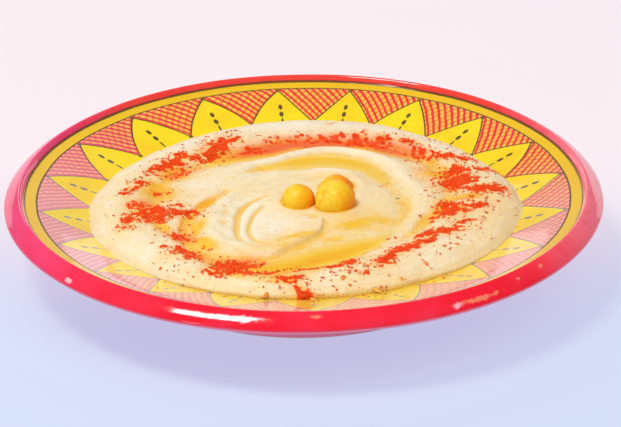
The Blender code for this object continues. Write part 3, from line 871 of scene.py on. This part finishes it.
def hummus(material):
    """The swirled hummus, with the spoon's fine marks."""
    angles = 360.0 * np.arange(HUMMUS_COLUMNS) / HUMMUS_COLUMNS
    turns = np.radians(angles)
    outline = hummus_outline(angles)
    rings = []
    for k in range(1, HUMMUS_ROWS + 1):
        share = k / HUMMUS_ROWS
        radii = outline * min(share + 0.06 * math.sin(math.pi * share), 1.0)
        floor = dish_height(radii) - GAP
        heights = np.maximum(hummus_height(radii, angles), floor + GAP)
        # The last ring sinks into the plate, so that no dark line shows between the two.
        rings.append(ring(radii, turns, heights if k < HUMMUS_ROWS else floor + 0.4 * GAP))
    for share in (0.985, 0.8, 0.5, 0.2):
        rings.append(ring(outline * share, turns, dish_height(outline * share) - GAP))
    top = float(hummus_height(np.zeros(1), np.zeros(1))[0])
    bottom = float(dish_height(0.0)) - GAP
    piece = net("swirled_hummus", [((0.0, 0.0, top), rings, (0.0, 0.0, bottom))], material)
    points = points_of(piece)
    x, y = points[:, 0] / PLATE_RADIUS, points[:, 1] / PLATE_RADIUS
    halo = patches(x, y, grown(PAPRIKA, 2.0))
    # The film includes painted contact shade round the chickpeas.
    film = np.maximum.reduce((patches(x, y, FILMS), hollow_film(points) + 0.3 * halo,
                              pea_contact_shade(x, y), 0.75 * halo))
    stain = patches(x, y, STAINS) + 0.22 * patches(x, y, grown(PAPRIKA, 1.7))
    add_values(piece, "paprika", paprika_cover(x, y))
    add_values(piece, "stain", stain)
    add_values(piece, "film", np.clip(film, 0.0, 1.7))
    # Paler patches, partly painted highlights.
    add_values(piece, "pale", patches(x, y, PALE_AND_HIGHLIGHTS))
    # For the painted highlights on the crests and the painted shade in the hollows.
    add_values(piece, "crest", crests(points))
    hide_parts("hummus")
    return piece


def pea_contact_shade(x, y):
    """Painted contact shade round the foot of each chickpea, coloured like thin oil."""
    film = np.zeros_like(x)
    for centre, sizes, *_ in CHICKPEAS.values():
        away = np.hypot(x - centre[0], y - centre[1]) * PLATE_RADIUS / sizes[0]
        film = np.maximum(film, 0.9 * np.exp(-((away - 1.0) / 0.22) ** 2))
    return film


def crests(points):
    """How far points stand over (up to 1) or under (down to -1) their close surroundings."""
    last = 1 + HUMMUS_ROWS * HUMMUS_COLUMNS
    heights = points[1:last, 2].reshape(HUMMUS_ROWS, HUMMUS_COLUMNS)
    smooth = heights.copy()
    for step in (1, 2, 3, 4):
        around = np.roll(smooth, step, axis=1) + np.roll(smooth, -step, axis=1)
        inward = np.concatenate((smooth[:1].repeat(step, axis=0), smooth[:-step]))
        outward = np.concatenate((smooth[step:], smooth[-1:].repeat(step, axis=0)))
        smooth = (around + inward + outward) / 4
    values = np.zeros(len(points))
    values[1:last] = np.clip((heights - smooth) / CREST_HEIGHT, -1.0, 1.0).ravel()
    values[1 + (HUMMUS_ROWS - 6) * HUMMUS_COLUMNS:] = 0.0
    return values


def hollow_film(points):
    """Thin oil that gathers in the grooves: how far a point lies under the plain profile."""
    radius = np.hypot(points[:, 0], points[:, 1])
    angle = np.degrees(np.arctan2(points[:, 1], points[:, 0]))
    plain = (FOOT_HEIGHT + plain_rise(radius, angle)) * PLATE_RADIUS
    return np.clip((plain - points[:, 2] - 0.0003) / 0.0011, 0.0, 0.7)


def bank(middle, angle, level, direction):
    """Where the hummus rises to a pool's level, going inwards (-1) or outwards (1)."""
    distances = np.linspace(0.0, POOL_REACH * PLATE_RADIUS, 240)
    heights = hummus_height(middle + direction * distances, np.full_like(distances, angle))
    dry = np.nonzero(heights > level)[0]
    return middle + direction * (distances[dry[0]] if len(dry) else distances[-1])


def oil(name, stroke, first, last, level_share, amber, material):
    """A pool of oil, level up to and under its banks."""
    level = (FOOT_HEIGHT + level_share) * PLATE_RADIUS
    rings = []
    depths = []
    for angle in np.arange(first, last + 0.5, 1.0):
        middle = float(stroke_at(STROKES[stroke], np.array(angle))[0]) * PLATE_RADIUS
        inner, outer = (bank(middle, angle, level, direction) for direction in (-1, 1))
        radii = np.linspace(inner - BANK_LAP, outer + BANK_LAP, POOL_COLUMNS)
        bed = hummus_height(radii, np.full_like(radii, angle))
        outward = np.linspace(0.0, 1.0, POOL_COLUMNS)
        depth = np.maximum(level - bed, 0.0) * (0.3 + 0.8 * outward ** 2)
        turn = math.radians(angle)
        top = ring(radii, turn, level - POOL_SKIN)
        below = ring(radii, turn, np.minimum(bed, level) - POOL_BASE)
        rings.append(np.concatenate((top, below[::-1])))
        depths.append(np.concatenate((depth, depth[::-1])))
    tube = (rings[0].mean(axis=0), rings, rings[-1].mean(axis=0))
    piece = net(name + "_pool", [tube], material)
    depths = np.concatenate(([0.0], *depths, [0.0]))
    add_values(piece, "depth", amber * depths / FULL_AMBER_DEPTH)
    points = points_of(piece)
    x, y = points[:, 0] / PLATE_RADIUS, points[:, 1] / PLATE_RADIUS
    add_values(piece, "paprika", paprika_cover(x, y))
    add_values(piece, "stain", patches(x, y, STAINS))
    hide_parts(name)
    return piece


def chickpea(name, centre, sizes, beak, beak_height, wrinkle, orange, material):
    """A cooked chickpea: an egg shape with a blunt beak and a skin with creases."""
    beak = np.array(beak) / np.linalg.norm(beak)
    middle = (np.array(centre) + np.array((0.0, 0.0, FOOT_HEIGHT))) * PLATE_RADIUS
    seam = np.cross(beak, (0.2, 0.3, 1.0))
    seam = seam / np.linalg.norm(seam)
    turns = 2 * math.pi * np.arange(PEA_COLUMNS) / PEA_COLUMNS
    rings = []
    crease_shades = []
    ambers = []
    for k in range(1, PEA_ROWS):
        tilt = math.pi * k / PEA_ROWS
        direction = ring(math.sin(tilt), turns, math.cos(tilt))
        x, y, z = direction.T
        towards = np.clip(direction @ beak, -1.0, 1.0)
        swell = 1.0 + beak_height * np.exp(-(np.arccos(towards) / BEAK_SPREAD) ** 2)
        crease = np.exp(-(direction @ seam / 0.10) ** 2) * np.clip(towards + 0.2, 0.0, 1.0)
        folds = np.abs(noise(x * 3.1 + z * 2.0 + 20, y * 3.1 + z * 1.3 + 20, 41))
        folds = folds + 0.5 * np.abs(noise(x * 7 + z * 4 + 30, y * 7 - z * 3 + 30, 42))
        dent = wrinkle * (1.2 - 2.2 * folds) - CREASE_DEPTH * crease
        rings.append(middle + direction * (np.array(sizes) * swell[:, None] + dent[:, None]))
        # Painted shade in the creases and folds of the skin.
        crease_shades.append(np.clip(crease * 0.8 + (0.35 - folds) * wrinkle / 0.0004, 0.0, 1.0))
        # Painted shade: more amber on the side away from the key lamp.
        ambers.append(np.clip(0.44 + orange + 0.60 * direction @ np.array(SHADED_SIDE), 0.0, 1.0))
    top, bottom = (middle + np.array((0.0, 0.0, side * sizes[2])) for side in (1.0, -1.0))
    piece = net(name + "_cooked", [(top, rings, bottom)], material)
    add_values(piece, "crease_shade", np.concatenate(([0.0], *crease_shades, [0.0])))
    add_values(piece, "amber", np.concatenate((ambers[0][:1], *ambers, ambers[-1][:1])))
    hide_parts(name)
    return piece


def surface_height(x, y):
    """Height of the topmost of hummus and oil."""
    height = top_height(x, y)
    radius = np.hypot(x, y)
    angle = np.degrees(np.arctan2(y, x))
    for stroke, first, last, level_share, _ in POOLS.values():
        level = (FOOT_HEIGHT + level_share) * PLATE_RADIUS
        turned = first + (angle - first) % 360.0
        middle = stroke_at(STROKES[stroke], angle)[0] * PLATE_RADIUS
        near = np.abs(radius - middle) < POOL_REACH * PLATE_RADIUS
        height = np.where(near & (turned <= last), np.maximum(height, level), height)
    return height


OCTAHEDRON = np.array([(1, 0, 0), (0, 1, 0), (-1, 0, 0), (0, -1, 0), (0, 0, 1), (0, 0, -1)])
OCTAHEDRON_FACES = np.array([(0, 1, 4), (1, 2, 4), (2, 3, 4), (3, 0, 4),
                             (1, 0, 5), (2, 1, 5), (3, 2, 5), (0, 3, 5)])


def grains(name, x, y, heights, sizes, flatness, seed, material):
    """Small flat grains in one mesh, each with its own size, turn and tilt."""
    chance = np.random.default_rng(seed)
    count = len(x)
    turn = chance.uniform(0, 2 * math.pi, count)
    tilt = chance.uniform(-0.5, 0.5, (count, 2))
    corners = OCTAHEDRON[None] * chance.uniform(0.6, 1.3, (count, 6, 1))
    corners = corners * np.column_stack((sizes, sizes * chance.uniform(0.5, 1.0, count),
                                         sizes * flatness))[:, None]
    cos, sin = np.cos(turn)[:, None], np.sin(turn)[:, None]
    flat_x = corners[:, :, 0] * cos - corners[:, :, 1] * sin
    flat_y = corners[:, :, 0] * sin + corners[:, :, 1] * cos
    flat_z = corners[:, :, 2] + flat_x * tilt[:, :1] + flat_y * tilt[:, 1:]
    points = np.stack((flat_x + x[:, None], flat_y + y[:, None], flat_z + heights[:, None]), axis=2)
    faces = (OCTAHEDRON_FACES[None] + 6 * np.arange(count)[:, None, None]).reshape(-1, 3)
    piece = placed(name, points.reshape(-1, 3), faces.tolist(), material)
    return piece


def paprika(material):
    """Powder and grains of paprika, in its patches."""
    chance = np.random.default_rng(51)
    x = chance.uniform(*SPAN_X, GRAIN_COUNT * 16)
    y = chance.uniform(*SPAN_Y, GRAIN_COUNT * 16)
    cover = paprika_cover(x, y)
    keep = chance.uniform(0, 1, len(x)) < cover
    x, y, cover = x[keep][:GRAIN_COUNT], y[keep][:GRAIN_COUNT], cover[keep][:GRAIN_COUNT]
    sizes = chance.uniform(*GRAIN_SIZE, len(x))
    x, y = x * PLATE_RADIUS, y * PLATE_RADIUS
    heights = surface_height(x, y) + sizes * 0.3 + cover * chance.uniform(0, 0.00025, len(x))
    return grains("paprika", x, y, heights, sizes, 0.6, 52, material)


def flakes(material):
    """Coarser flakes of paprika, strewn round the patches."""
    chance = np.random.default_rng(54)
    x = chance.uniform(*SPAN_X, FLAKE_COUNT * 30)
    y = chance.uniform(*SPAN_Y, FLAKE_COUNT * 30)
    halo = patches(x, y, grown(PAPRIKA, HALO_GROWTH)) - 0.12 + 0.6 * patches(x, y, STREWN)
    clumps = 0.25 + 1.3 * (cells(x, y, 45, 60, 53) > 0.1)
    keep = chance.uniform(0, 1, len(x)) < 0.45 * clumps * halo
    x, y = x[keep][:FLAKE_COUNT] * PLATE_RADIUS, y[keep][:FLAKE_COUNT] * PLATE_RADIUS
    sizes = FLAKE_SIZE[0] + (FLAKE_SIZE[1] - FLAKE_SIZE[0]) * chance.uniform(0, 1, len(x)) ** 3
    heights = surface_height(x, y) + sizes * 0.2
    return grains("paprika_flakes", x, y, heights, sizes, 0.35, 55, material)


def specks(material):
    """Fine dark specks of ground cumin and pepper, scattered over the hummus."""
    chance = np.random.default_rng(61)
    radius = np.sqrt(chance.uniform(0.15, 1.0, SPECK_COUNT)) * 0.69 * PLATE_RADIUS
    turn = chance.uniform(0, 2 * math.pi, SPECK_COUNT)
    x, y = radius * np.cos(turn), radius * np.sin(turn)
    sizes = chance.uniform(*SPECK_SIZE, SPECK_COUNT)
    return grains("cumin_specks", x, y, surface_height(x, y), sizes, 0.5, 62, material)


def skins(kind, material):
    """Larger flakes of pepper skin, thin and curled."""
    chance = np.random.default_rng(71)
    around = 2 * math.pi * np.arange(SKIN_CORNERS) / SKIN_CORNERS
    tubes = []
    for x, y, length, width, direction, _ in [row for row in SKINS if row[5] == kind]:
        turn = math.radians(direction)
        reach, lift = chance.uniform((0.45, 0.0), (1.15, 0.00008), (SKIN_CORNERS, 2)).T
        along, across = np.cos(around) * length * reach, np.sin(around) * width * reach
        edge_x = (x + along * math.cos(turn) - across * math.sin(turn)) * PLATE_RADIUS
        edge_y = (y + along * math.sin(turn) + across * math.cos(turn)) * PLATE_RADIUS
        edge = np.column_stack((edge_x, edge_y, top_height(edge_x, edge_y) + 0.00004 + lift))
        middle = np.array((x, y, 0.0)) * PLATE_RADIUS
        middle[2] = top_height(middle[:1], middle[1:2])[0]
        tubes.append((middle + (0.0, 0.0, 0.00016), [edge, edge - (0.0, 0.0, SKIN_THICKNESS)],
                      middle - (0.0, 0.0, SKIN_THICKNESS)))
    piece = net("pepper_skin_" + kind, tubes, material)
    return piece


# ---------------------------------------------------------------- stage, lights and camera
FLOOR_SIZE = 6.0              # half its side
WORLD_COLOUR = (0.93, 0.93, 1.0, 1.0)
WORLD_STRENGTH = 0.27
# Lights: name, place, size, power, colour and the way its first side runs.
LIGHTS = [
    ("sweep", (0.0, 2.2, 0.24), (4.0, 0.48), 4.5, (1.0, 0.98, 0.99), (1.0, 0.0, 0.0)),
    ("window", (-0.62, 1.95, 0.86), (0.50, 0.45), 1.1, (1.0, 1.0, 1.0), (1.0, 0.0, 0.0)),
    ("key", (-0.47, -0.28, 1.23), (0.46, 0.27), 9.4, (1.0, 0.98, 0.96), (0.31, -0.175, 0.08)),
    ("top", (0.65, -0.8, 1.5), (1.6, 1.2), 11.0, (1.0, 0.98, 0.97), (1.0, 0.0, 0.0)),
    ("behind", (-0.95, 1.1, 1.1), (1.2, 0.8), 5.0, (1.0, 0.96, 0.96), (1.0, 0.0, 0.0)),
    ("glint", (-0.66, -0.82, 0.32), (0.12, 0.12), 0.9, (1.0, 1.0, 1.0), (1.0, 0.0, 0.0)),
]

# The camera turns by its yaw, then its pitch, then its roll, from looking at the rim's middle.
CAMERA_DISTANCE = 8.0         # share
CAMERA_ELEVATION = 24.62
CAMERA_ROLL = -0.71
CAMERA_YAW = -0.16
CAMERA_PITCH = -0.621
CAMERA_LENS = 138.3


def stage_and_light():
    """The floor, the studio's even light and its lamps."""
    size = FLOOR_SIZE
    mesh = bpy.data.meshes.new("floor")
    mesh.from_pydata([(-size, -size, 0.0), (size, -size, 0.0), (size, size, 0.0),
                      (-size, size, 0.0)], [], [(0, 1, 2, 3)])
    mesh.materials.append(floor_paint())
    floor = bpy.data.objects.new("floor", mesh)
    bpy.context.scene.collection.objects.link(floor)
    world = bpy.data.worlds.new("studio")
    world.use_nodes = True
    bpy.context.scene.world = world
    background = world.node_tree.nodes["Background"]
    background.inputs["Color"].default_value = WORLD_COLOUR
    background.inputs["Strength"].default_value = WORLD_STRENGTH
    for name, place, size, power, colour, along in LIGHTS:
        lamp = bpy.data.lights.new(name, "AREA")
        lamp.shape = "RECTANGLE"
        lamp.size, lamp.size_y = size
        lamp.energy = power
        lamp.color = colour
        holder = bpy.data.objects.new(name, lamp)
        back = Vector(place).normalized()
        right = (Vector(along) - back * Vector(along).dot(back)).normalized()
        holder.matrix_world = Matrix.LocRotScale(
            Vector(place), Matrix((right, back.cross(right), back)).transposed(), None)
        holder.visible_glossy = name not in ("top", "behind")
        holder.visible_camera = False
        bpy.context.scene.collection.objects.link(holder)


def camera():
    """The camera, aimed at the middle of the rim and turned a little off it."""
    aim = Matrix.Rotation(math.radians(90.0 - CAMERA_ELEVATION), 4, "X")
    place = aim @ Vector((0.0, 0.0, CAMERA_DISTANCE * PLATE_RADIUS))
    place.z += FOOT_HEIGHT * PLATE_RADIUS
    for angle, axis in ((CAMERA_YAW, "Y"), (CAMERA_PITCH, "X"), (CAMERA_ROLL, "Z")):
        aim = aim @ Matrix.Rotation(math.radians(angle), 4, axis)
    data = bpy.data.cameras.new("camera")
    data.sensor_width = 36.0
    data.lens = CAMERA_LENS
    made = bpy.data.objects.new("camera", data)
    made.matrix_world = Matrix.Translation(place) @ aim
    bpy.context.scene.collection.objects.link(made)
    bpy.context.scene.camera = made


camera()
stage_and_light()
plate(painted_glaze())
hummus(hummus_paint())
oil_material = oil_paint()
for pool_name, values in POOLS.items():
    oil(pool_name, *values, oil_material)
pea_material = chickpea_paint()
for pea_name, values in CHICKPEAS.items():
    chickpea(pea_name, *values, pea_material)
paprika(grain_paint("paprika", (0.90, 0.050, 0.002), (1.0, 0.130, 0.004), 0.7))
flakes(grain_paint("paprika_flake", (0.62, 0.045, 0.004), (0.92, 0.20, 0.010), 0.6))
specks(grain_paint("cumin", (0.14, 0.13, 0.05), (0.40, 0.26, 0.10), 0.7))
skins("orange", grain_paint("skin_orange", (0.92, 0.40, 0.03), (0.95, 0.55, 0.08), 0.4))
skins("brown", grain_paint("skin_brown", (0.80, 0.22, 0.03), (0.90, 0.36, 0.08), 0.5))
skins("green", grain_paint("skin_green", (0.25, 0.22, 0.05), (0.40, 0.33, 0.10), 0.5))

bpy.context.scene.view_settings.view_transform = "Standard"
